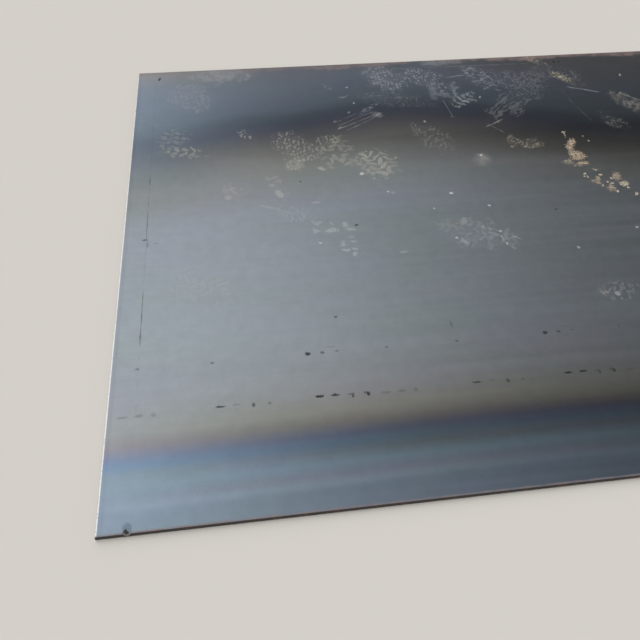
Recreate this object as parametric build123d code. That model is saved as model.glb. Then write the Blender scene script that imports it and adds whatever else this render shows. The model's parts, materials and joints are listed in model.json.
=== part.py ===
from build123d import *
import os

# One hot-rolled steel plate: a strip with the long edges that the rolls gave it, cut to length by a shear.
# X runs along the rolling direction, Y across the strip and Z up, all in millimetres.
# The origin is under the middle of the plate, in the plane that it rests on.

# Stock size
length = 3000
width = 1500
thickness = 12

# Mill edges: the long sides bulge a little, and their corners are round
edge_bulge = 1.2
corner_radius = 3

# Sheared ends, in the order that the blade makes them, from the face that it meets first
rollover_length = 8
rollover_depth = 1.2
burnish_height = 3.8
blade_clearance = 0.8
burr_height = 0.5
burr_foot = 0.4

# A knock in the front long edge, near the left end: a scoop as round as what struck it
nick_from_end = 55
nick_radius = 7
nick_standoff = 2


def rolled_section():
    """The strip cut across: two flat faces joined by bulging sides with round corners."""
    side = width / 2 - edge_bulge
    with BuildSketch(Plane.YZ) as section:
        with BuildLine():
            underside = Line((-side, 0), (side, 0))
            back = ThreePointArc(underside @ 1, (width / 2, thickness / 2), (side, thickness))
            top = Line(back @ 1, (-side, thickness))
            ThreePointArc(top @ 1, (-width / 2, thickness / 2), underside @ 0)
        make_face()
        fillet(section.vertices(), corner_radius)
    return section.sketch


def sheared_half():
    """The left half of the plate's length, with the end that the blade entered from above.

    The blade first bends the surface down, which is the rollover. It then cuts a smooth upright band,
    and the rest tears in a slant to the other blade, which stands the blades' clearance further out.
    """
    end = -length / 2
    band = end + blade_clearance
    band_top = thickness - rollover_depth
    with BuildSketch(Plane.XZ) as side_view:
        with BuildLine():
            rollover_middle = (band + rollover_length, band_top)
            rollover = EllipticalCenterArc(
                rollover_middle, rollover_length, rollover_depth, start_angle=90, arc_size=90
            )
            Polyline(
                rollover @ 1,
                (band, band_top - burnish_height),
                (end, 0),
                (0, 0),
                (0, thickness),
                rollover @ 0,
            )
        make_face()
    return extrude(side_view.sketch, width, both=True)


def burr():
    """The sharp ridge left along the right end, where the torn face runs out through the top."""
    end = length / 2
    flat_width = width - 2 * (edge_bulge + corner_radius)
    with BuildSketch(Plane.XZ) as section:
        with BuildLine():
            Polyline(
                (end - burr_foot, thickness),
                (end, thickness),
                (end, thickness + burr_height),
                close=True,
            )
        make_face()
    return extrude(section.sketch, flat_width / 2, both=True)


def nick():
    """A ball that stands off the top front edge, outwards and upwards, and bites a scoop from it."""
    x = nick_from_end - length / 2
    y = -width / 2 - nick_standoff
    z = thickness + nick_standoff
    return Pos(x, y, z) * Sphere(nick_radius)


# The same stroke that enters one plate from above leaves the next one's end the other way up,
# so the right end is the left end turned half way round.
left_half = sheared_half()
turn = Axis((0, 0, thickness / 2), (0, 1, 0))
cut_to_length = left_half + left_half.rotate(turn, 180)

strip = extrude(rolled_section(), length, both=True)
steel_plate = (strip & cut_to_length) + burr() - nick()

os.makedirs("parts", exist_ok=True)
export_step(steel_plate, "parts/steel_plate.step")
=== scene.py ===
# %% [markdown]
# # A hot-rolled steel plate
#
# The CAD model already has the real shape of the plate: its size, its rounded long edges and its sheared
# ends. In this lesson Blender adds what the eye sees first, which is the finish. A plate like this is
# never one grey. It carries a skin of blue-black mill scale with bands of heat tint, marks from the
# rolls, a line of rust at each long edge, and the dust and mud of the boots that walked over it.
#
# The steps are: load the plate, set up the camera and a plain studio, build each finish as a small
# shader group, put the groups together in one material, and model the dried mud as meshes.

# %% Load the plate and measure it
import json
import math

import bmesh
import bpy
from mathutils import Matrix, Vector, noise


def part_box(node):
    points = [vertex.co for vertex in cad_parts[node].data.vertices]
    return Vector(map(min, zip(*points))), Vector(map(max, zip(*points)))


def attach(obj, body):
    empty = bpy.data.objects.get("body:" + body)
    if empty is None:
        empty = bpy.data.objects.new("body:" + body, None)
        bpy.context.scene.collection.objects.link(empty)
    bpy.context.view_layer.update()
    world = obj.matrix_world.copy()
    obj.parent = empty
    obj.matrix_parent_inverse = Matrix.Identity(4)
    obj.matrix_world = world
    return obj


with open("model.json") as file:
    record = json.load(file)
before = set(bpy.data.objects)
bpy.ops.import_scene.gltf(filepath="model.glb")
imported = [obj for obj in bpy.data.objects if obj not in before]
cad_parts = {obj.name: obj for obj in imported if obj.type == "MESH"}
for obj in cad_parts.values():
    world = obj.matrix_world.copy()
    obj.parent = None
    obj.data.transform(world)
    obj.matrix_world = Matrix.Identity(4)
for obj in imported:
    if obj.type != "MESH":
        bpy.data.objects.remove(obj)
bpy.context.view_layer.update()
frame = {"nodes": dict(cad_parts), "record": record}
plate = frame["nodes"]["steel_plate"]
low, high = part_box("steel_plate")
length = high.x - low.x
width = high.y - low.y
top_face = next(m for m in frame["record"]["mounts"] if m["name"] == "top_face")
top = top_face["pos_m"][2]
front_left = Vector((low.x, low.y, top))
print(f"plate {length:.3f} x {width:.3f} m, top face at {top * 1000:.1f} mm")

# %% [markdown]
# ## The camera
#
# The plate was photographed by somebody standing near its front left corner, holding the camera a bit
# over a metre above it and looking down. The camera is placed by how far it stands from that corner, so
# it stays right if the plate is stored somewhere else. A camera looks along its own -Z axis, so it is
# first raised from looking straight down, then turned to the right, and the small lean of the hand comes
# last.

# %% Camera
eye_right_of_corner = 0.3085
eye_in_front = 0.4361
eye_above = 1.0899
look_down = math.radians(51.0)
look_right = math.radians(9.0)
lean = math.radians(2.18)
lens_mm = 35.72

camera = bpy.data.objects.new("camera", bpy.data.cameras.new("camera"))
bpy.context.scene.collection.objects.link(camera)
camera.data.sensor_width = 36
camera.data.lens = lens_mm
eye = front_left + Vector((eye_right_of_corner, -eye_in_front, eye_above))
camera.matrix_world = (
    Matrix.Translation(eye)
    @ Matrix.Rotation(-look_right, 4, "Z")
    @ Matrix.Rotation(math.pi / 2 - look_down, 4, "X")
    @ Matrix.Rotation(lean, 4, "Z")
)
bpy.context.scene.camera = camera
print("camera at", [round(c, 3) for c in eye])

# %% [markdown]
# ## Short calls for node trees
#
# A shader is a chain of small nodes. Adding each one by hand takes several lines, so this class keeps
# one node tree and turns every node into one call that hands back its output. A value given to a call
# may be a number or the output of another call, so a chain of nodes reads like a formula.

# %% Helpers for node trees


class Recipe:
    """One node tree, with a short call for each kind of node that this lesson uses."""

    def __init__(self, tree):
        self.tree = tree

    def feed(self, socket, value):
        if isinstance(value, bpy.types.NodeSocket):
            self.tree.links.new(value, socket)
        else:
            socket.default_value = value

    def node(self, kind, inputs=None, **settings):
        made = self.tree.nodes.new(kind)
        for name, value in settings.items():
            setattr(made, name, value)
        for name, value in (inputs or {}).items():
            self.feed(made.inputs[name], value)
        return made

    def math(self, operation, *values, clamp=False):
        made = self.node("ShaderNodeMath", operation=operation, use_clamp=clamp)
        for socket, value in zip(made.inputs, values):
            self.feed(socket, value)
        return made.outputs[0]

    def vector(self, operation, *values):
        made = self.node("ShaderNodeVectorMath", operation=operation)
        for socket, value in zip(made.inputs, values):
            self.feed(socket, value)
        return made.outputs["Value" if operation in ("DOT_PRODUCT", "LENGTH") else "Vector"]

    def read(self, vector, axis):
        """One coordinate of a vector, which is its dot product with that axis."""
        return self.vector("DOT_PRODUCT", vector, {"X": (1, 0, 0), "Y": (0, 1, 0), "Z": (0, 0, 1)}[axis])

    def fade(self, value, start, end, at_start=0.0, at_end=1.0):
        """Goes smoothly from at_start, where value is start, to at_end, where value is end.

        The smooth step stops at its ends by itself, so the node's own clamp is off. With it on, Cycles adds a
        clamp to each fade, and a material of this many layers needs more values at once than it can hold.
        """
        inputs = {"Value": value, "From Min": start, "From Max": end, "To Min": at_start, "To Max": at_end}
        settings = {"interpolation_type": "SMOOTHSTEP", "clamp": False}
        return self.node("ShaderNodeMapRange", inputs, **settings).outputs["Result"]

    def vary(self, base, noise_value, amount):
        """base, made larger and smaller by a noise, whose middle value is 0.5."""
        return self.math("MULTIPLY_ADD", self.math("SUBTRACT", noise_value, 0.5), amount, base)

    def join(self, x=0.0, y=0.0, z=0.0):
        return self.node("ShaderNodeCombineXYZ", {"X": x, "Y": y, "Z": z}).outputs[0]

    def noise(self, vector, scale, detail=2.0, roughness=0.5):
        inputs = {"Vector": vector, "Scale": scale, "Detail": detail, "Roughness": roughness}
        return self.node("ShaderNodeTexNoise", inputs).outputs["Fac"]

    def flat_noise(self, vector, scale, detail=2.0, roughness=0.5):
        """Noise that changes along and across but not with height, which is quicker to work out."""
        inputs = {"Vector": vector, "Scale": scale, "Detail": detail, "Roughness": roughness}
        return self.node("ShaderNodeTexNoise", inputs, noise_dimensions="2D").outputs["Fac"]

    def chances(self, number):
        """Three random values from 0 to 1, which stay the same for the same number."""
        dice = self.node("ShaderNodeTexWhiteNoise", {"W": number}, noise_dimensions="1D")
        return self.node("ShaderNodeSeparateColor", {"Color": dice.outputs["Color"]}).outputs

    def grey(self, value):
        return self.node("ShaderNodeCombineColor", {"Red": value, "Green": value, "Blue": value}).outputs[0]

    def mix(self, share, first, second, blend="MIX"):
        made = self.node("ShaderNodeMix", data_type="RGBA", blend_type=blend)
        for socket, value in zip((made.inputs[0], made.inputs[6], made.inputs[7]), (share, first, second)):
            self.feed(socket, value)
        return made.outputs[2]

    def use(self, group, inputs):
        """Places a shader group that another recipe built, and hands back its outputs."""
        return self.node("ShaderNodeGroup", inputs, node_tree=group.tree).outputs


def paint(code):
    """A colour written as it looks on a screen, such as 8C949D, in the linear values of a shader."""
    shown = [int(code[i : i + 2], 16) / 255 for i in (0, 2, 4)]
    return tuple(c / 12.92 if c <= 0.04045 else ((c + 0.055) / 1.055) ** 2.4 for c in shown) + (1.0,)


def new_group(name, inputs, outputs):
    """A shader group. inputs and outputs are (name, kind) pairs, where a float input may add its value."""
    group = bpy.data.node_groups.new(name, "ShaderNodeTree")
    for title, kind, *value in inputs:
        socket = group.interface.new_socket(title, in_out="INPUT", socket_type=f"NodeSocket{kind}")
        if value:
            socket.default_value = value[0]
    for title, kind in outputs:
        group.interface.new_socket(title, in_out="OUTPUT", socket_type=f"NodeSocket{kind}")
    recipe = Recipe(group)
    given = recipe.node("NodeGroupInput").outputs
    result = recipe.node("NodeGroupOutput").inputs
    return recipe, given, result


print("node helpers ready")

# %% [markdown]
# ## A plain studio
#
# Bare metal shows little but what is around it. So the light here is one soft sky and no lamps. One side
# of it is bright and the other dim, which gives the plate its slow change from light at the near left
# corner to dark at the right, as a cloudy sky with something dark beyond the plate would. The floor and
# the round wall far behind it are plain and pale. They are real surfaces that the sky lights, so the
# steel shows the same surroundings as the camera does.

# %% Sky, floor and backdrop
sky_bright, sky_dim = 1.7, 0.24
sky_bright_until, sky_dim_from = -0.23, 0.66

world = bpy.data.worlds.new("soft sky")
bpy.context.scene.world = world
world.use_nodes = True
world.node_tree.nodes.clear()
sky = Recipe(world.node_tree)
direction = sky.node("ShaderNodeTexCoord").outputs["Generated"]
to_the_right = sky.read(direction, "X")
glow = sky.fade(to_the_right, sky_bright_until, sky_dim_from, sky_bright, sky_dim)
background = sky.node("ShaderNodeBackground", {"Strength": glow})
sky.node("ShaderNodeOutputWorld", {"Surface": background.outputs[0]})

studio_paint = bpy.data.materials.new("pale studio paint")
studio_paint.use_nodes = True
studio_shader = studio_paint.node_tree.nodes["Principled BSDF"]
studio_shader.inputs["Base Color"].default_value = paint("DEDAD3")
studio_shader.inputs["Roughness"].default_value = 0.9


def stage_piece(name, points, faces):
    """A part of the studio, which is not a part of the plate."""
    mesh = bpy.data.meshes.new(name)
    mesh.from_pydata(points, [], faces)
    mesh.shade_smooth()
    mesh.materials.append(studio_paint)
    piece = bpy.data.objects.new(name, mesh)
    bpy.context.scene.collection.objects.link(piece)


floor_size = 44.0
corners = [Vector((x, y, 0.0)) * floor_size / 2 for x, y in ((-1, -1), (1, -1), (1, 1), (-1, 1))]
stage_piece("floor", corners, [(0, 1, 2, 3)])

wall_radius, wall_height, wall_parts = 20.0, 6.4, 96
wall_turns = [math.tau * part / wall_parts for part in range(wall_parts)]
wall_foot = [Vector((math.cos(turn), math.sin(turn), 0.0)) * wall_radius for turn in wall_turns]
wall_rim = [point + Vector((0.0, 0.0, wall_height)) for point in wall_foot]
wall_faces = []
for part in range(wall_parts):
    following = (part + 1) % wall_parts
    wall_faces.append((part, following, following + wall_parts, part + wall_parts))
stage_piece("backdrop", wall_foot + wall_rim, wall_faces)
bpy.context.scene.view_settings.view_transform = "Standard"
print("studio ready")

# %% [markdown]
# ## Heat tint across the plate
#
# While a strip cools, its scale grows thicker in the middle than at the edges, and thin scale shows
# colours as a film of oil does. The bands run along the plate, and a colour ramp across the width holds
# them. Each is given by its distance from the front edge in millimetres and by the colour that it has on
# a screen. The back bands wander in a long wave, so the ramp is read at a place that the wave has
# shifted. At the sheared end the tint fades to the paler bands of thinner scale, which have a ramp of
# their own. Last, a few stretches of the bands are made a little deeper or paler, as no band is even
# over its whole length.

# %% Heat tint group
bands = [
    # slate with thin paler lines at the front edge
    (0, "6C7784"), (38, "6A7683"), (50, "74818D"), (67, "6B7481"), (88, "687984"), (112, "5F6973"),
    # blue, violet, then brown, which turns paler
    (130, "536374"), (148, "555B6D"), (174, "6B6B66"), (200, "80817A"),
    # the grey middle
    (270, "8A8D93"), (400, "8C949A"), (780, "868D94"), (930, "797C7C"),
    # brown again, then the darkest blue
    (1005, "626361"), (1065, "4E4E50"), (1127, "3A3D48"), (1157, "343B48"), (1190, "39424C"),
    # slate up to the back edge
    (1230, "47525D"), (1350, "555D6A"), (1500, "5A5C62"),
]
pale_bands = [
    (0, "8C9CA9"), (110, "98AABA"), (130, "8AA2C0"), (168, "A09AAA"), (200, "9EA4AE"),
    (400, "8999A8"), (1400, "8999A8"), (1475, "A3A5A8"),
]
wave_height, wave_length, wave_crest = 0.075, 1.6, 0.76
drift_scale, drift_height = 3.0, 0.04
end_rise = 0.045
pale_reach, pale_curve = 0.50, 1.5
duller_blue, deeper_blue, deeper_brown = paint("F6F1EA"), paint("EEEEF0"), paint("ECEAEB")
paler_brown = (1.14, 1.12, 1.08, 1.0)

tint, given, result = new_group("heat tint", [("Place", "Vector")], [("Color", "Color")])
along, across = tint.read(given["Place"], "X"), tint.read(given["Place"], "Y")
turns = tint.math("MULTIPLY", tint.math("SUBTRACT", along, wave_crest), math.tau / wave_length)
wave = tint.math("MULTIPLY", tint.math("COSINE", turns), wave_height)
shift = tint.vary(wave, tint.flat_noise(given["Place"], drift_scale), drift_height)
shift = tint.math("ADD", shift, tint.fade(along, 0.50, 0.22, 0.0, end_rise))
loose = tint.fade(across, 0.6, 0.95, 0.1, 1.0)
read_at = tint.math("SUBTRACT", across, tint.math("MULTIPLY", shift, loose))


def banded_ramp(read_from, stops):
    """A colour ramp across the plate. Each stop is its distance from the front edge and its colour."""
    ramp = tint.node("ShaderNodeValToRGB", {"Fac": tint.math("DIVIDE", read_from, width)})
    ramp.color_ramp.elements.remove(ramp.color_ramp.elements[1])
    for number, (millimetres, code) in enumerate(stops):
        band_at = millimetres / 1000 / width
        stop = ramp.color_ramp.elements[0] if number == 0 else ramp.color_ramp.elements.new(band_at)
        stop.position = band_at
        stop.color = paint(code)
    return ramp.outputs["Color"]


band_ramp = banded_ramp(read_at, bands)
pale_ramp = banded_ramp(across, pale_bands)
left_to_fade = tint.math("SUBTRACT", 1.0, tint.math("DIVIDE", along, pale_reach), clamp=True)
front_pale = tint.fade(across, 0.14, 0.38, 0.56, 0.0)
back_pale = tint.fade(across, 0.85, 1.0, 0.0, 0.35)
back_pale = tint.math("ADD", back_pale, tint.fade(across, 1.10, 1.22, 0.0, 0.08))
pale_share = tint.math("ADD", front_pale, back_pale)
pale = tint.math("MULTIPLY", tint.math("POWER", left_to_fade, pale_curve), pale_share)
# the blue of the front bands, away from the sheared end
blue_at_front = tint.math("MULTIPLY", tint.fade(across, 0.085, 0.125), tint.fade(across, 0.185, 0.160))
blue_at_front = tint.math("MULTIPLY", blue_at_front, tint.fade(along, 0.42, 0.66))
banded = tint.mix(blue_at_front, band_ramp, duller_blue, "MULTIPLY")
# the darkest blue and the slate behind it, further to the right
blue_at_back = tint.math("MULTIPLY", tint.fade(across, 1.02, 1.20), tint.fade(along, 0.95, 1.30))
banded = tint.mix(blue_at_back, banded, deeper_blue, "MULTIPLY")
# the back brown band, deeper to the right and paler for a stretch at the left
brown = tint.math("MULTIPLY", tint.fade(across, 0.94, 1.02), tint.fade(across, 1.13, 1.08))
brown_at_right = tint.math("MULTIPLY", brown, tint.fade(along, 0.58, 0.80))
banded = tint.mix(brown_at_right, banded, deeper_brown, "MULTIPLY")
pale_stretch = tint.math("MULTIPLY", tint.fade(along, 0.14, 0.24), tint.fade(along, 0.52, 0.38))
banded = tint.mix(tint.math("MULTIPLY", brown, pale_stretch), banded, paler_brown, "MULTIPLY")
tint.feed(result["Color"], tint.mix(pale, banded, pale_ramp))
print("heat tint:", len(bands), "bands")

# %% [markdown]
# ## Start the mill scale material
#
# The steel is one solid with one skin, so it gets one material. It is made as on the real plate, from
# the steel up: the tinted scale first, then marks in it, then rust, then the dust that lies on top. The
# names colour, metal and rough always hold the result so far, and each layer that follows changes them.
# All places are measured in metres from the plate's front left corner: along, across and up. The bump
# reads only the grain, because Blender works out a bump's height three times and the whole stack of
# layers would be slow.

# %% The scale itself
scale = bpy.data.materials.new("mill scale")
scale.use_nodes = True
skin = Recipe(scale.node_tree)
shader = scale.node_tree.nodes["Principled BSDF"]
coordinates = skin.node("ShaderNodeTexCoord").outputs
place = skin.vector("SUBTRACT", coordinates["Object"], tuple(front_left))
along, across, up = skin.read(place, "X"), skin.read(place, "Y"), skin.read(place, "Z")

grain_scale, blotch_scale, cloud_scale = 260.0, 34.0, 7.0
rolling_stretch = (1.1, 42.0, 42.0)
long_cloud_stretch = (2.5, 9.0, 0.0)
line_contrast, blotch_contrast, grain_contrast = 0.12, 0.14, 0.10
greenish, purplish = (0.98, 1.0, 0.975, 1.0), (1.02, 1.0, 1.025, 1.0)
smoothest, line_roughness = 0.27, 0.10

fine_grain = skin.noise(place, grain_scale, 2.0, 0.6)
blotches = skin.flat_noise(place, blotch_scale, 2.0, 0.6)
clouds = skin.flat_noise(place, cloud_scale, 1.0)
stretched = skin.vector("MULTIPLY", place, rolling_stretch)
rolled_lines = skin.flat_noise(stretched, 1.0, 2.0, 0.6)

shade = skin.math("MULTIPLY_ADD", rolled_lines, line_contrast, 1.0 - line_contrast / 2)
shade = skin.vary(shade, blotches, blotch_contrast)
shade = skin.vary(shade, fine_grain, grain_contrast)
colour = skin.use(tint, {"Place": place})["Color"]
colour = skin.mix(1.0, colour, skin.grey(shade), "MULTIPLY")
long_clouds = skin.flat_noise(skin.vector("MULTIPLY", place, long_cloud_stretch), 1.0, 2.0)
tone = skin.mix(skin.fade(long_clouds, 0.35, 0.65), greenish, purplish)
colour = skin.mix(1.0, colour, tone, "MULTIPLY")
metal = 1.0
rough = skin.math("MULTIPLY_ADD", rolled_lines, line_roughness, smoothest)
print("scale ready")

# %% [markdown]
# ## A place with ragged edges
#
# Nothing that lies on steel has a sharp outline. Instead of making every outline ragged by itself, the
# place is shaken by noise before a mark is drawn from it. Marks drawn from a place that is off by a
# millimetre here and there come out with ragged edges, and that is one step for all of them. Prints are
# also bent by a slower noise, because a sole gives way under the foot.

# %% Shaken places
little_shake, more_shake, print_bend = 0.004, 0.008, 0.022
rollover_reach = 0.0012

elsewhere = skin.vector("ADD", place, (3.0, 5.0, 0.0))
sideways_grain = skin.flat_noise(elsewhere, grain_scale, 2.0, 0.6)
sideways_blotches = skin.flat_noise(elsewhere, blotch_scale, 1.0)
on_top = skin.vector("MULTIPLY", place, (1.0, 1.0, 0.0))
shake = skin.vector("SUBTRACT", skin.join(fine_grain, sideways_grain), (0.5, 0.5, 0.0))
bend = skin.vector("SUBTRACT", skin.join(blotches, sideways_blotches), (0.5, 0.5, 0.0))
shaken_little = skin.vector("MULTIPLY_ADD", shake, (little_shake, little_shake, 0.0), on_top)
shaken_more = skin.vector("MULTIPLY_ADD", shake, (more_shake, more_shake, 0.0), on_top)
shaken_more = skin.vector("MULTIPLY_ADD", bend, (print_bend, print_bend, 0.0), shaken_more)
top_only = skin.math("GREATER_THAN", up, -rollover_reach)
print("shaken places ready")

# %% [markdown]
# ## One patch for every mark
#
# A dent, a scratch, a splash and a boot print look different, but each one is some oblong patch with an
# uneven edge: a scratch is a very narrow one and a splash a round one. So one group draws them all. It
# measures how far a point lies from the patch's middle, along the patch and over it, in shares of its
# half length and half width. The patch ends where the two together pass 1. A noise that is added to that
# distance makes the edge wander, and where the noise is strong it opens gaps.

# %% Patch group
patch_group, given, result = new_group(
    "ragged patch",
    [("Place", "Vector"), ("Ragged", "Float"), ("Middle", "Vector"), ("Long Way", "Vector"),
     ("Wide Way", "Vector"), ("Strength", "Float"), ("Veil Strength", "Float")],
    [("Mask", "Float"), ("Veil", "Float"), ("Long Share", "Float"), ("Wide Share", "Float")],
)
from_middle = patch_group.vector("SUBTRACT", given["Place"], given["Middle"])
long_share = patch_group.vector("DOT_PRODUCT", from_middle, given["Long Way"])
wide_share = patch_group.vector("DOT_PRODUCT", from_middle, given["Wide Way"])
to_edge = patch_group.vector("LENGTH", patch_group.join(long_share, wide_share))
to_edge = patch_group.math("ADD", to_edge, given["Ragged"])
patch_group.feed(result["Mask"], patch_group.fade(to_edge, 1.15, 0.75, 0.0, given["Strength"]))
patch_group.feed(result["Veil"], patch_group.fade(to_edge, 1.45, 0.4, 0.0, given["Veil Strength"]))
patch_group.feed(result["Long Share"], long_share)
patch_group.feed(result["Wide Share"], wide_share)

ragged_little = skin.math("MULTIPLY_ADD", sideways_grain, 0.8, -0.4)
ragged_more = skin.math("MULTIPLY_ADD", blotches, 1.5, -0.75)
broken = skin.math("MULTIPLY_ADD", sideways_blotches, 2.6, -1.35)


def patch(where, ragged, middle, turn, size, strength=1.0, veil_strength=0.0):
    """A patch round middle: size is its length and width, and turn is where its length points, in degrees."""
    way = math.radians(turn)
    inputs = {
        "Place": where, "Ragged": ragged, "Middle": (*middle, 0.0),
        "Long Way": Vector((math.cos(way), math.sin(way), 0.0)) * 2 / size[0],
        "Wide Way": Vector((-math.sin(way), math.cos(way), 0.0)) * 2 / size[1],
        "Strength": strength, "Veil Strength": veil_strength,
    }
    return skin.use(patch_group, inputs)


def spot(middle, turn, size, strength):
    return patch(shaken_little, ragged_little, middle, turn, size, strength)["Mask"]


def streak(start, end, line_width, strength):
    """A narrow patch from start to end, with gaps."""
    run = Vector(end) - Vector(start)
    middle = (Vector(start) + Vector(end)) / 2
    turn = math.degrees(math.atan2(run.y, run.x))
    return patch(shaken_little, broken, middle, turn, (run.length, line_width), strength)["Mask"]


def stronger(one, other):
    return skin.math("MAXIMUM", one, other)


def part_of(mask, share):
    return skin.math("MULTIPLY", mask, share)


def outside(mask):
    """What a mask leaves free."""
    return skin.math("SUBTRACT", 1.0, mask)


print("patch group ready")

# %% [markdown]
# ## Dents from the rolls
#
# A straightener roll with damaged spots prints the same small dents each time it turns, so they stand in
# rows and come again at the roll's own girth. The place is therefore folded: the remainder after
# dividing by the girth starts again from zero at each turn. Each dent is drawn once, and the folded
# place repeats it over the whole plate.

# %% Roll dents
roll_girth = 0.525
fold_start = 0.015

from_fold = skin.math("SUBTRACT", skin.read(shaken_little, "X"), fold_start)
folded_along = skin.math("FLOORED_MODULO", from_fold, roll_girth)
folded = skin.join(folded_along, skin.read(shaken_little, "Y"))
dark = 0.0
for middle, size, strength in [
    ((0.222, 0.2375), (0.020, 0.005), 0.75), ((0.254, 0.239), (0.018, 0.004), 0.25),
    ((0.288, 0.2345), (0.008, 0.010), 0.6), ((0.320, 0.235), (0.008, 0.007), 0.35),
    ((0.421, 0.2395), (0.019, 0.006), 1.0), ((0.453, 0.2395), (0.018, 0.006), 0.9),
    ((0.485, 0.2385), (0.017, 0.005), 0.45), ((0.488, 0.2335), (0.006, 0.009), 0.7),
    ((0.517, 0.2380), (0.014, 0.006), 0.55), ((0.520, 0.2350), (0.007, 0.010), 0.9),
    ((0.031, 0.2340), (0.022, 0.006), 0.25), ((0.064, 0.2345), (0.018, 0.008), 0.25),
    ((0.092, 0.2340), (0.010, 0.010), 0.22), ((0.409, 0.347), (0.012, 0.010), 0.9),
    ((0.440, 0.347), (0.010, 0.007), 0.6), ((0.472, 0.348), (0.009, 0.005), 0.35),
    ((0.209, 0.346), (0.009, 0.006), 0.5), ((0.055, 0.347), (0.009, 0.006), 0.4),
    ((0.459, 0.360), (0.026, 0.0025), 0.25),
]:
    on_roll = (middle[0] - fold_start, middle[1])
    dent = patch(folded, ragged_little, on_roll, 0, size, strength)
    dark = stronger(dark, dent["Mask"])
print("roll dents every", roll_girth, "m")

# %% [markdown]
# ## The scratch, the specks and the bright corner
#
# Not every mark comes again with the rolls. A long, broken scratch runs across the plate close to its
# sheared end, and there are single dark specks and damp stains. Two of the stains lie under mud clumps
# and are also painted shadow of the clumps. These could come from random places, but a few marks on an
# even skin catch the eye, so each is laid by itself. The shear bent the top corner of the end over and
# rubbed it bare. So a thin bright line follows that corner: it is bare steel, painted near white as a
# highlight. A faint painted shadow lies beside it.

# %% Scratch, specks, damp stains, painted shadow and painted highlight
scratch_along = 0.0575
bare_steel_highlight, dark_mark_and_shade = paint("E2E4E6"), paint("2A2A2C")
for start, end, line_width, strength in [
    (1.46, 0.341, 0.0018, 0.15), (0.975, 0.932, 0.0022, 0.45), (0.850, 0.725, 0.0020, 0.45),
    (0.565, 0.380, 0.0022, 0.50),
]:
    dark = stronger(dark, streak((scratch_along, start), (scratch_along, end), line_width, strength))
for middle, turn, size, strength in [
    ((0.053, 0.003), 0, (0.009, 0.016), 1.0), ((0.055, 0.010), 0, (0.018, 0.022), 0.3),
    ((0.054, 0.730), 0, (0.015, 0.006), 0.6), ((0.061, 0.712), 90, (0.022, 0.005), 0.3),
    ((0.082, 0.716), 10, (0.013, 0.005), 0.25), ((0.068, 1.457), 75, (0.020, 0.007), 0.9),
    ((0.577, 0.731), 20, (0.011, 0.006), 0.9), ((0.455, 0.914), 0, (0.007, 0.005), 0.7),
    ((0.482, 0.441), 0, (0.008, 0.007), 0.6), ((1.106, 0.738), 15, (0.011, 0.005), 0.6),
    ((0.734, 0.394), 90, (0.020, 0.004), 0.4), ((1.366, 1.454), 0, (0.009, 0.009), 0.8),
    ((1.384, 1.454), 0, (0.008, 0.008), 0.7),
    # damp stains under two mud clumps, which are also painted shadow of the clumps
    ((1.254, 0.933), 10, (0.050, 0.014), 0.28), ((1.322, 0.812), 30, (0.030, 0.020), 0.4),
]:
    dark = stronger(dark, spot(middle, turn, size, strength))
# the bare rollover line, painted near white as a highlight
rollover_bare_and_highlight = part_of(skin.fade(along, 0.0042, 0.0030, 0.0, 1.0), top_only)
rollover_bare_and_highlight = part_of(rollover_bare_and_highlight, skin.fade(sideways_grain, 0.3, 0.5, 0.45, 1.0))
colour = skin.mix(rollover_bare_and_highlight, colour, bare_steel_highlight)
metal = skin.math("SUBTRACT", metal, part_of(rollover_bare_and_highlight, 0.6))
# a faint painted shadow beside the bright line
painted_shadow_beside_rollover = part_of(skin.fade(along, 0.016, 0.010), skin.fade(along, 0.003, 0.006, 0.0, 0.08))
dark = stronger(dark, painted_shadow_beside_rollover)
dark = part_of(dark, top_only)
# the marks, the stains and the painted shadows all get one dark colour
colour = skin.mix(part_of(dark, 0.85), colour, dark_mark_and_shade)
rough = skin.math("MULTIPLY_ADD", dark, 0.3, rough)
print("dark marks ready")

# %% [markdown]
# ## Rust along the long edges
#
# Scale cracks where the strip's edge bends over, water gets in, and a brown line of rust follows the
# edge. It is a few millimetres wide at the front and a wide, uneven strip at the back. Rust isn't metal
# any more, so the material's metal share falls where it lies.

# %% Rust at the long edges
back_rust_from = 1.472
mottled_row = 0.0665
mottle, thin_rust, red_rust, pale_rust = paint("7B6E78"), paint("7C6765"), paint("63433F"), paint("A08D8A")

uneven = skin.vary(across, blotches, 0.02)
front_uneven = skin.vary(across, sideways_grain, 0.004)
front_rust = skin.fade(front_uneven, 0.0030, 0.0060, 0.8, 0.0)
back_start = skin.vary(back_rust_from, clouds, -0.05)
back_rust = skin.fade(skin.math("SUBTRACT", uneven, back_start), 0.0, 0.020)
back_rust = part_of(back_rust, skin.fade(along, 0.0, 1.2, 0.32, 1.0))
rust = stronger(front_rust, back_rust)
rust = part_of(rust, skin.fade(blotches, 0.3, 0.62, 0.45, 1.0))
row_beside = skin.math("ABSOLUTE", skin.math("SUBTRACT", across, mottled_row))
row_mottle = part_of(skin.fade(row_beside, 0.012, 0.005), skin.fade(sideways_grain, 0.48, 0.62))
row_mottle = part_of(row_mottle, skin.fade(along, 0.05, 0.30, 0.0, 0.35))
colour = skin.mix(row_mottle, colour, mottle)
redder = skin.fade(along, 0.9, 1.5)
rust_colour = skin.mix(fine_grain, skin.mix(redder, thin_rust, red_rust), pale_rust)
colour = skin.mix(part_of(rust, 0.8), colour, rust_colour)
metal = skin.math("SUBTRACT", metal, part_of(rust, 0.7))
rough = skin.math("MULTIPLY_ADD", rust, 0.35, rough)
print("rust ready")

# %% [markdown]
# ## Prints of boot soles
#
# Wet, dusty boots walked over the plate, and each lug of a sole left a pale patch. All prints are the
# same idea: a patch for the outline of the sole, and a pattern that shows inside it. The group below
# makes the clearest pattern, V-shaped rows of lugs. It counts rows and columns over the sole, and random
# values read at a lug's own number decide whether it is there, how large and how pale. A lug leaves more
# at its rim than in its middle.

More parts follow.
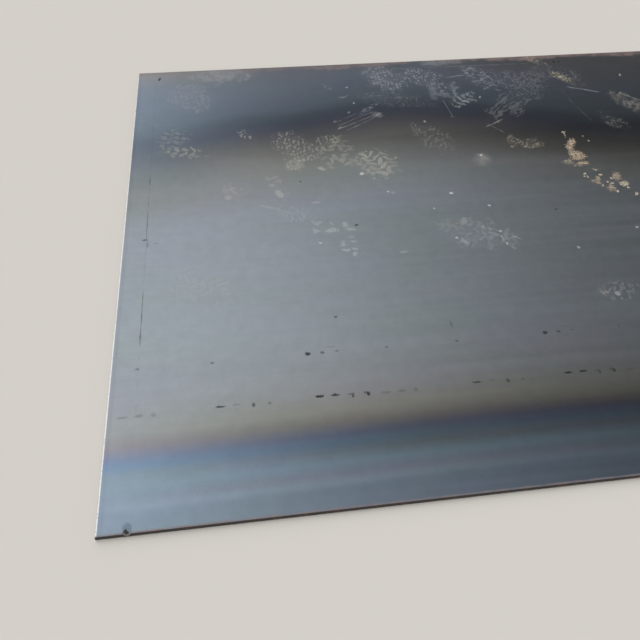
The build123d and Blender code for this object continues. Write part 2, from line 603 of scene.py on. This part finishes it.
# %% Rows of lugs
lugs, given, result = new_group(
    "sole lugs",
    [("Long Share", "Float"), ("Wide Share", "Float"), ("Rows", "Float"), ("Columns", "Float"),
     ("Slant", "Float"), ("Left Behind", "Float"), ("Seed", "Float")],
    [("Mask", "Float")],
)
column = lugs.math("MULTIPLY", given["Wide Share"], given["Columns"])
zigzag = lugs.math("MULTIPLY", lugs.math("PINGPONG", column, 1.0), given["Slant"])
row = lugs.math("MULTIPLY_ADD", given["Long Share"], given["Rows"], zigzag)
lug_number = lugs.math("MULTIPLY_ADD", lugs.math("FLOOR", column), 47.0, lugs.math("FLOOR", row))
lug_number = lugs.math("MULTIPLY_ADD", given["Seed"], 1009.0, lug_number)
chance_left, chance_size, chance_pale = lugs.chances(lug_number)
in_row = lugs.math("ABSOLUTE", lugs.math("SUBTRACT", lugs.math("FRACT", row), 0.5))
in_column = lugs.math("ABSOLUTE", lugs.math("SUBTRACT", lugs.math("FRACT", column), 0.5))
lug_size = lugs.math("MULTIPLY_ADD", chance_size, 0.16, 0.24)
long_part = lugs.math("DIVIDE", in_row, lug_size)
lug_edge = lugs.vector("LENGTH", lugs.join(long_part, lugs.math("MULTIPLY", in_column, 2.45)))
paleness = lugs.math("MULTIPLY_ADD", chance_pale, 0.6, 0.4)
rim = lugs.fade(lug_edge, 0.0, 0.9, 0.65, 1.0)
lug = lugs.math("MULTIPLY", lugs.fade(lug_edge, 1.3, 0.95, 0.0, paleness), rim)
is_left = lugs.math("LESS_THAN", chance_left, given["Left Behind"])
lugs.feed(result["Mask"], lugs.math("MULTIPLY", lug, is_left))
print("lug group ready")

# %% [markdown]
# ## Smaller patterns inside a print
#
# Many soles left no clear lugs. Four patterns stand in for what they left. Studs are the cells of a
# Voronoi texture with gaps between them, as where wet dirt dried and shrank. Strokes are short dashes:
# each Voronoi cell gets one, laid at its own angle round the middle of the cell. Squiggles are the lines
# on which a noise has its middle value, and look like the curves that a twisted foot leaves. Smears are
# a noise drawn out long in one direction, as where a foot slid. Every print then picks one.

# %% Studs, strokes, squiggles and smears
cell_bend, cells_per_metre = 0.014, 86.0
stroke_half_length, stroke_half_width = 0.0066, 0.0031
smear_way, smear_side = (0.72, 0.69, 0.0), (-0.69, 0.72, 0.0)
smear_stretch = (16.0, 110.0, 0.0)

softly_shaken = skin.vector("MULTIPLY_ADD", bend, (cell_bend, cell_bend, 0.0), shaken_little)
cell_inputs = {"Vector": softly_shaken, "Scale": cells_per_metre, "Randomness": 0.8}
cell_gap = skin.node("ShaderNodeTexVoronoi", cell_inputs, feature="DISTANCE_TO_EDGE",
                     voronoi_dimensions="2D").outputs["Distance"]
cells = skin.node("ShaderNodeTexVoronoi", cell_inputs, voronoi_dimensions="2D").outputs
cell_chance = skin.node("ShaderNodeSeparateColor", {"Color": cells["Color"]}).outputs
studs = part_of(skin.fade(cell_gap, 0.06, 0.24), skin.fade(cell_chance["Red"], 0.15, 0.75, 0.1, 1.0))

stroke_turn = skin.math("MULTIPLY_ADD", cell_chance["Green"], 1.6, 0.4)
stroke_way = skin.join(skin.math("COSINE", stroke_turn), skin.math("SINE", stroke_turn))
from_cell = skin.vector("SUBTRACT", softly_shaken, cells["Position"])
with_stroke = skin.vector("DOT_PRODUCT", from_cell, stroke_way)
beside_stroke = skin.vector("LENGTH", skin.vector("CROSS_PRODUCT", from_cell, stroke_way))
with_stroke = skin.math("DIVIDE", with_stroke, stroke_half_length)
beside_stroke = skin.math("DIVIDE", beside_stroke, stroke_half_width)
stroke_edge = skin.vector("LENGTH", skin.join(with_stroke, beside_stroke))
strokes = part_of(skin.fade(stroke_edge, 1.2, 0.6), skin.fade(cell_chance["Blue"], 0.1, 0.7, 0.25, 1.0))

twist = skin.math("ABSOLUTE", skin.math("SUBTRACT", skin.flat_noise(on_top, 62.0, 1.0), 0.5))
squiggles = part_of(skin.fade(twist, 0.06, 0.015), skin.fade(blotches, 0.35, 0.6, 0.3, 1.0))
with_smear = skin.vector("DOT_PRODUCT", shaken_more, smear_way)
beside_smear = skin.vector("DOT_PRODUCT", shaken_more, smear_side)
drawn_out = skin.vector("MULTIPLY", skin.join(with_smear, beside_smear), smear_stretch)
smears = skin.fade(skin.flat_noise(drawn_out, 1.0, 1.0), 0.46, 0.64)
print("print patterns ready")

# %% [markdown]
# ## Leave the prints
#
# A print is given by its middle, the way that the sole pointed, its size and how clear it is. A pattern
# of its own for each print would need a node tree too large to work out quickly. So the outlines of all
# prints with the same pattern are joined first, and the pattern goes into them once. Where a whole sole
# left a thin, even film of dust, the print adds to the veil too.

# %% Leave the prints
patterns = {"studs": studs, "strokes": strokes, "squiggles": squiggles, "smears": smears}
areas = {name: 0.0 for name in patterns}
veil, prints = 0.0, 0.0


def lay(pattern, middle, turn, size, strength, veil_strength=0.0):
    """A print in which a pattern shows. Each pattern is added once, when the prints are gathered."""
    global veil
    foot = patch(shaken_more, ragged_more, middle, turn, size, strength, veil_strength)
    areas[pattern] = stronger(areas[pattern], foot["Mask"])
    if veil_strength:
        veil = stronger(veil, foot["Veil"])


def lay_lugs(middle, turn, size, strength, lug, slant, left, seed, veil_strength=0.0):
    """A print with rows of lugs. lug is the length and width of one, and left the share that shows."""
    global veil, prints
    foot = patch(shaken_more, ragged_more, middle, turn, size, strength, veil_strength)
    rows, columns = size[0] / 2 / lug[0], size[1] / 2 / lug[1]
    inputs = {"Long Share": foot["Long Share"], "Wide Share": foot["Wide Share"], "Rows": rows,
              "Columns": columns, "Slant": slant * lug[1] / lug[0], "Left Behind": left, "Seed": seed}
    prints = stronger(prints, part_of(foot["Mask"], skin.use(lugs, inputs)["Mask"]))
    if veil_strength:
        veil = stronger(veil, foot["Veil"])


lay_lugs((0.672, 0.975), -66, (0.125, 0.115), 0.90, (0.022, 0.027), 0.9, 0.97, 1, 0.05)
lay_lugs((0.597, 0.990), -50, (0.060, 0.050), 0.80, (0.020, 0.020), 0.3, 0.9, 2, 0.08)
lay_lugs((0.562, 1.035), 60, (0.130, 0.090), 0.65, (0.021, 0.022), 0.7, 0.8, 3, 0.06)
lay_lugs((0.115, 1.135), 80, (0.100, 0.080), 0.34, (0.020, 0.018), 0.3, 0.8, 5)
lay_lugs((0.140, 1.075), -12, (0.125, 0.054), 0.64, (0.022, 0.021), 0.5, 0.9, 6)
lay_lugs((0.163, 1.350), 10, (0.125, 0.165), 0.50, (0.015, 0.013), 0.6, 0.8, 7, 0.10)
lay_lugs((1.000, 1.262), 35, (0.095, 0.055), 0.85, (0.020, 0.026), -0.5, 0.9, 8)
lay_lugs((1.090, 1.385), -65, (0.150, 0.090), 0.62, (0.017, 0.016), -0.5, 0.85, 9, 0.05)
lay_lugs((0.185, 0.562), -30, (0.155, 0.110), 0.54, (0.020, 0.022), 0.8, 0.6, 11)
lay_lugs((0.390, 0.905), -70, (0.115, 0.045), 0.45, (0.020, 0.020), 0.3, 0.75, 12, 0.05)
lay_lugs((0.272, 0.887), -60, (0.070, 0.055), 0.55, (0.020, 0.020), 0.3, 0.6, 13, 0.08)
lay("strokes", (0.560, 1.085), 0, (0.090, 0.060), 0.55)
lay("strokes", (0.455, 1.065), -60, (0.150, 0.095), 0.62, 0.06)
lay("studs", (0.450, 0.990), 30, (0.060, 0.046), 0.75, 0.40)
lay("studs", (0.775, 1.405), -60, (0.165, 0.110), 0.64, 0.12)
lay("strokes", (0.888, 1.400), 0, (0.130, 0.105), 0.64, 0.06)
lay("studs", (0.918, 1.320), 80, (0.100, 0.026), 0.60, 0.40)
lay("studs", (0.988, 1.320), 85, (0.085, 0.022), 0.60, 0.40)
lay("strokes", (0.957, 1.335), 0, (0.075, 0.070), 0.60, 0.06)
lay("studs", (0.945, 1.292), -20, (0.060, 0.026), 0.40, 0.30)
lay("strokes", (1.190, 1.360), -10, (0.180, 0.110), 0.38, 0.05)
lay("squiggles", (1.210, 1.290), 50, (0.150, 0.110), 0.40, 0.03)
lay("smears", (1.130, 1.215), 42, (0.180, 0.100), 0.29, 0.03)
lay("studs", (1.290, 1.385), 70, (0.140, 0.080), 0.32, 0.06)
lay("squiggles", (1.394, 1.380), -70, (0.090, 0.060), 0.45)
lay("squiggles", (1.520, 1.205), -62, (0.120, 0.075), 0.45)
lay_lugs((0.868, 0.672), -22, (0.205, 0.100), 0.32, (0.018, 0.018), 0.6, 0.85, 14, 0.05)
lay("strokes", (0.860, 1.075), -60, (0.160, 0.095), 0.30, 0.02)
lay("strokes", (1.150, 0.452), 0, (0.120, 0.060), 0.20)
lay("studs", (1.424, 1.105), -60, (0.095, 0.060), 0.32, 0.06)
lay("squiggles", (0.790, 1.280), -15, (0.230, 0.080), 0.35, 0.05)
lay("squiggles", (0.700, 1.238), 35, (0.090, 0.022), 0.75, 0.10)
lay("studs", (0.716, 1.205), 30, (0.034, 0.028), 0.85, 0.30)
lay("strokes", (0.318, 1.140), -50, (0.060, 0.030), 0.60)
lay("strokes", (0.430, 0.785), -30, (0.110, 0.060), 0.28)
lay("studs", (0.258, 1.464), 0, (0.170, 0.085), 0.60, 0.45)
lay("studs", (0.980, 1.480), 0, (0.130, 0.036), 0.50, 0.35)
lay("squiggles", (0.587, 1.370), -60, (0.050, 0.016), 0.90)
lay("squiggles", (0.628, 1.306), 20, (0.048, 0.014), 0.85)
print("prints ready")

# %% [markdown]
# ## Scuffs and splashes
#
# Between the prints lie pale scuffs, where a boot slid, and dried splashes. They are narrow and round
# patches again, as the scratch and the specks are, only pale. One splash dried with a soft halo, which
# goes into the veil.

# %% Scuffs and splashes
for start, end, line_width, strength in [
    ((0.587, 1.174), (0.690, 1.236), 0.0021, 0.32), ((0.591, 1.156), (0.650, 1.190), 0.0018, 0.40),
    ((0.645, 1.188), (0.700, 1.217), 0.0018, 0.36), ((0.595, 1.143), (0.655, 1.174), 0.0028, 0.46),
    ((0.650, 1.172), (0.712, 1.204), 0.0021, 0.40), ((0.612, 1.130), (0.660, 1.160), 0.0028, 0.46),
    ((0.655, 1.157), (0.716, 1.196), 0.0024, 0.44), ((1.025, 1.112), (1.062, 1.128), 0.0036, 0.48),
    ((1.055, 1.127), (1.092, 1.147), 0.0030, 0.56), ((1.040, 1.125), (1.094, 1.056), 0.0030, 0.48),
    ((0.935, 1.275), (0.944, 1.174), 0.0021, 0.40), ((0.966, 1.388), (1.045, 1.400), 0.0042, 0.48),
    ((1.345, 1.306), (1.480, 1.250), 0.0052, 0.46), ((1.328, 1.300), (1.340, 1.200), 0.0032, 0.10),
    ((1.338, 1.210), (1.358, 1.120), 0.0040, 0.15), ((0.954, 0.661), (0.974, 0.641), 0.0035, 0.50),
    ((0.326, 0.838), (0.402, 0.799), 0.0060, 0.34), ((0.345, 0.836), (0.430, 0.782), 0.0050, 0.28),
    ((0.850, 1.456), (1.250, 1.452), 0.0048, 0.20),
    ((1.505, 1.258), (1.560, 1.205), 0.0050, 0.50), ((0.930, 1.172), (0.950, 1.172), 0.0030, 0.48),
]:
    prints = stronger(prints, streak(start, end, line_width, strength))
for middle, turn, size, strength in [
    ((0.970, 0.956), 80, (0.028, 0.016), 0.3),
    ((0.676, 0.625), 10, (0.020, 0.007), 0.4), ((0.519, 0.963), -30, (0.024, 0.014), 0.8),
    ((0.960, 0.648), 15, (0.032, 0.005), 0.3), ((1.144, 0.440), 0, (0.014, 0.016), 0.45),
    ((0.586, 1.180), 40, (0.014, 0.008), 0.35), ((0.597, 1.147), 40, (0.016, 0.007), 0.55),
    ((0.694, 0.846), 0, (0.013, 0.011), 0.4), ((0.635, 1.223), 60, (0.012, 0.007), 0.5),
    ((0.487, 0.826), 0, (0.026, 0.008), 0.4), ((0.395, 0.870), -70, (0.036, 0.020), 0.7),
    ((0.378, 0.906), 0, (0.018, 0.014), 0.5), ((0.261, 0.868), 0, (0.020, 0.020), 0.5),
    ((0.276, 0.890), -50, (0.030, 0.008), 0.4), ((0.190, 0.571), 60, (0.020, 0.013), 0.5),
]:
    prints = stronger(prints, spot(middle, turn, size, strength))
halo = patch(shaken_little, ragged_little, (0.972, 0.962), 60, (0.056, 0.044), 0.0, 0.40)["Veil"]
veil = stronger(veil, halo)
print("scuffs and splashes ready")

# %% [markdown]
# ## Single lugs and bright specks
#
# Two prints in the middle of the plate are nearly gone, and only single lugs of them still show. Random
# rows can't leave just these, so they are laid one by one. The small bright specks are drops that dried
# thick. They go into a mask of their own, because they are whiter than the dust.

# %% Single lugs
ragged_lug = skin.math("MULTIPLY_ADD", ragged_more, 0.7, -1.2)
ragged_lug = skin.math("MULTIPLY_ADD", sideways_grain, 2.4, ragged_lug)
for middle, turn, size, strength in [
    ((0.478, 0.748), 0, (0.024, 0.013), 0.41), ((0.476, 0.722), 0, (0.022, 0.018), 0.53),
    ((0.514, 0.742), -40, (0.016, 0.007), 0.53), ((0.512, 0.716), 0, (0.032, 0.020), 0.70),
    ((0.549, 0.737), 0, (0.018, 0.016), 0.59), ((0.558, 0.717), -20, (0.026, 0.013), 0.53),
    ((0.558, 0.692), 0, (0.018, 0.012), 0.35), ((0.534, 0.669), 20, (0.022, 0.013), 0.53),
    ((0.561, 0.672), -30, (0.018, 0.011), 0.59), ((0.538, 0.648), 0, (0.020, 0.013), 0.70),
    ((0.560, 0.648), -30, (0.018, 0.013), 0.59), ((0.557, 0.628), 0, (0.012, 0.010), 0.65),
    ((0.849, 0.715), 0, (0.018, 0.020), 0.38), ((0.834, 0.644), -60, (0.022, 0.011), 0.47),
    ((0.898, 0.696), 0, (0.012, 0.010), 0.53), ((0.914, 0.687), 0, (0.011, 0.014), 0.47),
    ((0.914, 0.661), -50, (0.024, 0.007), 0.35), ((0.934, 0.643), -70, (0.026, 0.007), 0.47),
]:
    lug_left = patch(shaken_more, ragged_lug, middle, turn, size, strength)["Mask"]
    prints = stronger(prints, lug_left)
print("single lugs ready")

# %% Bright specks
specks = 0.0
for middle, turn, size, strength in [
    ((0.848, 0.828), 0, (0.012, 0.009), 0.70), ((0.788, 0.773), 0, (0.006, 0.006), 0.50),
    ((0.935, 0.770), -20, (0.009, 0.006), 0.70), ((0.818, 0.660), 0, (0.008, 0.007), 0.55),
    ((0.935, 0.672), 0, (0.010, 0.006), 0.55), ((0.938, 0.628), 80, (0.011, 0.006), 0.50),
    ((0.479, 0.676), -20, (0.009, 0.005), 0.60), ((0.682, 0.851), -30, (0.008, 0.006), 0.55),
    ((0.625, 0.932), 50, (0.014, 0.009), 0.65), ((1.289, 0.651), 0, (0.009, 0.007), 0.60),
    ((1.111, 0.596), 0, (0.010, 0.010), 0.42), ((0.975, 0.981), 70, (0.010, 0.008), 0.60),
    ((0.853, 1.157), 70, (0.009, 0.006), 0.55), ((1.056, 1.269), 70, (0.009, 0.006), 0.55),
    ((0.658, 1.271), 0, (0.006, 0.007), 0.50), ((0.650, 1.360), 0, (0.008, 0.006), 0.50),
]:
    specks = stronger(specks, spot(middle, turn, size, strength))
print("bright specks ready")

# %% [markdown]
# ## Thicker earth
#
# In a few places the boots left more than dust, and thicker, yellower earth lies on the scale. It is
# still too thin to stand up, so it stays in the material. It gets a mask of its own, for its own colour.
# Earth breaks up as it dries, so the studs, the smears and the grain together open gaps in it.

# %% Thicker earth
earth = 0.0
for middle, turn, size, strength in [
    ((1.350, 1.366), -58, (0.090, 0.042), 0.80), ((1.388, 1.332), -40, (0.100, 0.050), 0.20),
    ((1.515, 1.207), -62, (0.125, 0.072), 0.44), ((1.134, 1.022), 20, (0.062, 0.050), 0.55),
    ((1.087, 1.040), 75, (0.066, 0.032), 0.55), ((1.305, 1.474), -40, (0.075, 0.046), 0.55),
    ((1.213, 0.925), -20, (0.044, 0.026), 0.60), ((1.252, 0.915), 0, (0.040, 0.030), 0.55),
    ((1.251, 1.048), 90, (0.028, 0.009), 0.50), ((1.279, 0.890), 4, (0.036, 0.009), 0.65),
    ((0.803, 0.713), 0, (0.055, 0.028), 0.24), ((1.116, 0.452), -70, (0.042, 0.026), 0.36),
]:
    earth = stronger(earth, patch(shaken_more, ragged_more, middle, turn, size, strength)["Mask"])
earth_grain = skin.math("MULTIPLY_ADD", studs, 0.5, skin.math("MULTIPLY_ADD", smears, 0.3, sideways_grain))
earth = part_of(earth, skin.fade(earth_grain, 0.60, 1.10, 0.10, 1.0))
earth = part_of(earth, skin.fade(sideways_blotches, 0.35, 0.6, 0.55, 1.0))
print("earth ready")

# %% [markdown]
# ## Put the dust on
#
# Dust isn't metal and doesn't shine, so where it lies, the metal share falls and the skin grows rough.
# Veil, prints and earth cross each other, and at each place the strongest of them counts. Added up, they
# would leave spots that are too pale where they cross. The dust is a cool grey, a little darker at the
# back, warmer over the brown band, and yellower where it is earth.

# %% Put the dust on
back_dust, front_dust, warm_dust = paint("A2A7AB"), paint("B4B8BB"), paint("ADABA2")
dry_earth, dried_drop = paint("B5AA92"), paint("D4D6D4")

for name, pattern in patterns.items():
    prints = stronger(prints, part_of(areas[name], pattern))
veil = part_of(veil, skin.fade(sideways_blotches, 0.3, 0.7, 0.4, 1.0))
prints = part_of(prints, skin.fade(sideways_grain, 0.25, 0.55, 0.55, 0.92))
grey_dust = stronger(veil, prints)
dust = part_of(stronger(grey_dust, earth), top_only)
warmth = part_of(skin.fade(across, 1.24, 1.10), skin.fade(across, 0.80, 0.95))
cool_dust = skin.mix(skin.fade(across, 1.10, 0.90), back_dust, front_dust)
dust_colour = skin.mix(warmth, cool_dust, warm_dust)
earthy = skin.math("DIVIDE", earth, skin.math("ADD", stronger(grey_dust, earth), 0.001), clamp=True)
dust_colour = skin.mix(earthy, dust_colour, dry_earth)
colour = skin.mix(dust, colour, dust_colour)
metal = part_of(outside(dust), metal)
rough = skin.math("MULTIPLY_ADD", dust, 0.5, rough)
specks = part_of(specks, top_only)
colour = skin.mix(specks, colour, dried_drop)
metal = part_of(outside(specks), metal)
print("dust ready")

# %% [markdown]
# ## The narrow faces and the underside
#
# The narrow faces tell how the plate was made. The long ones are as the mill left them, dark scale with
# rust coming through. The short ones were cut by a shear, which leaves two bands: a bright one that the
# blade rubbed smooth, and a dull one where the steel tore. The blade came from above at the left end,
# and the plate was turned round for the other cut, so there the bright band is at the bottom. The
# direction in which a face looks says which kind it is.

# %% Edges, sheared ends and underside
burnished_height = 0.0038
plate_thickness = top - low.z
dark_edge, rusty_edge, rust_below = paint("343332"), paint("57443B"), paint("6E5548")
rubbed_dull, rubbed_bright = paint("8E9092"), paint("B4B5B4")
torn_grey, torn_rusty = paint("77736F"), paint("7E5F4E")

facing = coordinates["Normal"]
looks_along = skin.math("ABSOLUTE", skin.read(facing, "X"))
mill_edge = skin.fade(skin.math("ABSOLUTE", skin.read(facing, "Y")), 0.35, 0.8)
sheared = skin.fade(looks_along, 0.4, 0.75)
below = skin.fade(skin.read(facing, "Z"), -0.3, -0.8)

edge_rust = skin.math("MULTIPLY_ADD", blotches, 0.7, part_of(sideways_grain, 0.4))
edge_rust = skin.fade(edge_rust, 0.5, 0.85)
edge_colour = skin.mix(edge_rust, dark_edge, rusty_edge)
colour = skin.mix(mill_edge, colour, edge_colour)
metal = part_of(outside(part_of(mill_edge, 0.7)), metal)
rough = skin.math("MULTIPLY_ADD", mill_edge, 0.25, rough)

left_half = skin.math("LESS_THAN", along, length / 2)
from_blade_left = skin.math("MULTIPLY", up, -1.0)
from_blade_right = skin.math("ADD", up, plate_thickness)
from_blade_left = part_of(from_blade_left, left_half)
from_blade_right = part_of(from_blade_right, outside(left_half))
from_blade = skin.math("ADD", from_blade_left, from_blade_right)
drag_lines = skin.flat_noise(skin.join(across, from_blade), 900.0, 1.0)
tear_edge = skin.vary(from_blade, blotches, 0.003)
torn = skin.fade(tear_edge, burnished_height - 0.0004, burnished_height + 0.0006)
cut_colour = skin.mix(drag_lines, rubbed_dull, rubbed_bright)
torn_colour = skin.mix(skin.fade(sideways_blotches, 0.4, 0.65), torn_grey, torn_rusty)
cut_colour = skin.mix(torn, cut_colour, torn_colour)
colour = skin.mix(sheared, colour, cut_colour)
torn_face = part_of(sheared, torn)
metal = part_of(outside(part_of(torn_face, 0.4)), metal)
rough = skin.math("MULTIPLY_ADD", torn_face, 0.25, rough)

under_rust = part_of(below, skin.fade(clouds, 0.46, 0.74, 0.0, 0.6))
under_rust = part_of(under_rust, skin.fade(blotches, 0.35, 0.6, 0.3, 1.0))
colour = skin.mix(under_rust, colour, rust_below)
metal = part_of(outside(part_of(under_rust, 0.8)), metal)
rough = skin.math("MULTIPLY_ADD", under_rust, 0.35, rough)
print("narrow faces and underside ready")

# %% [markdown]
# ## Connect the layers
#
# So far the layers have only built up a colour, a metal share and a roughness. Now each goes to its own
# socket of the shader. The scale is also a little rough to the touch. Modelling such grain would take
# millions of faces, so a very shallow bump stands for it and breaks up the reflections.

# %% Connect the layers to the shader
skin.feed(shader.inputs["Base Color"], colour)
skin.feed(shader.inputs["Metallic"], metal)
skin.feed(shader.inputs["Roughness"], rough)
grain_depth = 0.00002
bump = skin.node("ShaderNodeBump", {"Height": fine_grain, "Distance": grain_depth, "Strength": 1.0})
skin.feed(shader.inputs["Normal"], bump.outputs["Normal"])
for slot in plate.material_slots:
    slot.material = scale
print("mill scale has", len(scale.node_tree.nodes), "nodes")

# %% [markdown]
# ## Dried mud
# In a few places the mud that fell off a boot is thick enough to stand up, and a flat stain would look
# wrong from the side. Such a clump could be sculpted, or scattered from small stones. Here it is grown:
# over a fine grid, each clump gets a height that falls off from its middle, and noise makes it lumpy and
# frays its edge. Only the squares on which some mud lies are kept. The border dips just below the steel,
# so no gap shows. The mud is of three tones, so its crust is one shader group, and each material gives
# it its own three colours. The darkest of them is painted shade: it fills the low places of the lumps
# and the thin border, so that the thin crust looks thicker.

# %% Dried mud group and materials
mud_grain_scale, mud_change_scale = 300.0, 90.0
mud_grain_depth = 0.0008

crust, given, result = new_group(
    "mud crust",
    [("Place", "Vector"), ("Above Steel", "Float"), ("Pale", "Color"), ("Dull", "Color"), ("Deep", "Color")],
    [("Color", "Color"), ("Roughness", "Float"), ("Lumps", "Float")],
)
mud_lumps = crust.noise(given["Place"], mud_grain_scale, 3.0, 0.6)
raised = crust.fade(given["Above Steel"], 0.00005, 0.0003)
# pale mud where the lumps stand up, and the painted shade colour in the low places and at the border
pale_share = crust.math("MULTIPLY", raised, crust.fade(mud_lumps, 0.40, 0.58, 0.25, 1.0))
wide_change = crust.fade(crust.noise(given["Place"], mud_change_scale, 1.0), 0.35, 0.65)
mud_colour = crust.mix(wide_change, given["Pale"], given["Dull"])
crust.feed(result["Color"], crust.mix(pale_share, given["Deep"], mud_colour))
crust.feed(result["Roughness"], crust.fade(mud_lumps, 0.3, 0.7, 0.98, 0.85))
crust.feed(result["Lumps"], mud_lumps)


def dried_mud(name, pale_code, dull_code, painted_shade_code):
    """Mud that is pale where it stands up, and has a painted shade colour in its low places and at its thin
    border.
    """
    made = bpy.data.materials.new(name)
    made.use_nodes = True
    recipe = Recipe(made.node_tree)
    mud_shader = made.node_tree.nodes["Principled BSDF"]
    mud_place = recipe.node("ShaderNodeTexCoord").outputs["Object"]
    above_steel = recipe.math("SUBTRACT", recipe.read(mud_place, "Z"), front_left.z)
    colours = {"Pale": paint(pale_code), "Dull": paint(dull_code), "Deep": paint(painted_shade_code)}
    look = recipe.use(crust, {"Place": mud_place, "Above Steel": above_steel, **colours})
    recipe.feed(mud_shader.inputs["Base Color"], look["Color"])
    recipe.feed(mud_shader.inputs["Roughness"], look["Roughness"])
    bump_inputs = {"Height": look["Lumps"], "Distance": mud_grain_depth, "Strength": 1.0}
    recipe.feed(mud_shader.inputs["Normal"], recipe.node("ShaderNodeBump", bump_inputs).outputs["Normal"])
    return made


# the third colour of each mud is painted shade
mud = dried_mud("dried mud", "C4B29B", "9F907E", "61564A")
pale_mud = dried_mud("pale dried mud", "D6CDBF", "B4AA9B", "766D61")
thin_mud = dried_mud("thin dried mud", "B4A696", "8F867B", "5C554D")
print("dried mud ready")

# %% Grow the clumps
mud_step = 0.0008
mud_thickness = 0.00046
mud_border_dip = 0.0001
mud_spread = 1.2
mud_fray, fray_scale = 0.65, 230
lump_scale, lowest_share = 480, 0.55

clumps = {
    "mud_clump_upper": [((1.257, 1.015), 60, (0.032, 0.020)), ((1.243, 0.994), 72, (0.032, 0.020))],
    "mud_clump_wide": [((1.240, 0.964), 80, (0.026, 0.020)), ((1.259, 0.959), 100, (0.028, 0.018)),
                       ((1.250, 0.945), 12, (0.044, 0.022)), ((1.252, 0.918), 5, (0.032, 0.014))],
    "mud_clump_front_left": [((1.252, 0.838), 20, (0.014, 0.012)), ((1.261, 0.831), -10, (0.018, 0.011)),
                             ((1.267, 0.847), 70, (0.024, 0.013))],
    "mud_clump_front": [((1.289, 0.804), 20, (0.022, 0.022)), ((1.290, 0.815), 80, (0.014, 0.008))],
    "mud_clump_right": [((1.323, 0.852), 60, (0.034, 0.022))],
    "mud_clump_bright": [((1.331, 0.820), 28, (0.024, 0.018))],
    "mud_crumbs": [((1.251, 1.066), 0, (0.013, 0.006)), ((1.251, 1.059), 90, (0.012, 0.004)),
                   ((1.239, 0.872), 20, (0.009, 0.007)), ((1.234, 0.861), 0, (0.006, 0.005)),
                   ((1.242, 0.857), 80, (0.009, 0.005)), ((1.281, 0.863), 10, (0.010, 0.007)),
                   ((1.304, 0.845), 60, (0.008, 0.006)), ((1.289, 0.832), 0, (0.007, 0.006)),
                   ((1.299, 0.826), 30, (0.008, 0.007)), ((1.269, 0.818), 30, (0.008, 0.007)),
                   ((1.300, 0.792), 60, (0.010, 0.006)), ((1.336, 0.805), 20, (0.008, 0.006)),
                   ((1.347, 0.777), 50, (0.013, 0.007)), ((1.310, 1.018), 70, (0.006, 0.004)),
                   ((1.302, 1.041), 80, (0.006, 0.003)), ((1.511, 1.252), 20, (0.010, 0.004)),
                   ((1.557, 1.356), 70, (0.012, 0.005))],
}


def mud_cover(x, y, lumps):
    """How far inside the nearest lump a place is: 1 in its middle, 0 at its edge, less than 0 beside it."""
    nearest = min(math.hypot(*(turned @ Vector((x - mx, y - my)))) for (mx, my), turned in lumps)
    return 1 - nearest + mud_fray * noise.noise(Vector((x, y, 0)) * fray_scale)


def mud_height(x, y, cover):
    lumpy = noise.noise(Vector((x, y, 7)) * lump_scale) * 0.5 + 0.5
    raised_share = min(1.0, math.sqrt(max(cover, 0.0)) * 1.3)
    return mud_thickness * raised_share * (lowest_share + (1 - lowest_share) * lumpy)


def grow_clump(name, lumps, material):
    """A mesh over the part of the grid on which the lumps lie. Each lump is a middle, a turn and a size."""
    ready = []
    for middle, turn, size in lumps:
        way = Matrix.Rotation(-math.radians(turn), 2)
        shares = Matrix(((2 / size[0] / mud_spread, 0), (0, 2 / size[1] / mud_spread)))
        ready.append((middle, shares @ way))
    reach = max(max(size) for _, _, size in lumps)
    first = [math.floor((min(m[i] for m, _, _ in lumps) - reach) / mud_step) for i in (0, 1)]
    last = [math.ceil((max(m[i] for m, _, _ in lumps) + reach) / mud_step) for i in (0, 1)]
    covers = {
        (i, j): mud_cover(i * mud_step, j * mud_step, ready)
        for i in range(first[0], last[0] + 1)
        for j in range(first[1], last[1] + 1)
    }
    clump = bmesh.new()
    points = {}

    def point(spot_on_grid):
        if spot_on_grid not in points:
            x, y = spot_on_grid[0] * mud_step, spot_on_grid[1] * mud_step
            cover = covers[spot_on_grid]
            z = mud_height(x, y, cover) if cover > 0 else -mud_border_dip
            points[spot_on_grid] = clump.verts.new(front_left + Vector((x, y, z)))
        return points[spot_on_grid]

    for i in range(first[0], last[0]):
        for j in range(first[1], last[1]):
            square = ((i, j), (i + 1, j), (i + 1, j + 1), (i, j + 1))
            if max(covers[corner] for corner in square) > 0:
                clump.faces.new([point(corner) for corner in square]).smooth = True
    mesh = bpy.data.meshes.new(name)
    clump.to_mesh(mesh)
    clump.free()
    mesh.materials.append(material)
    piece = bpy.data.objects.new(name, mesh)
    bpy.context.scene.collection.objects.link(piece)
    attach(piece, "root")
    print(name, len(mesh.polygons), "faces")


other_mud = {"mud_clump_bright": pale_mud, "mud_crumbs": pale_mud, "mud_clump_front_left": thin_mud,
             "mud_clump_front": thin_mud, "mud_clump_right": thin_mud}
for name, lumps in clumps.items():
    grow_clump(name, lumps, other_mud.get(name, mud))
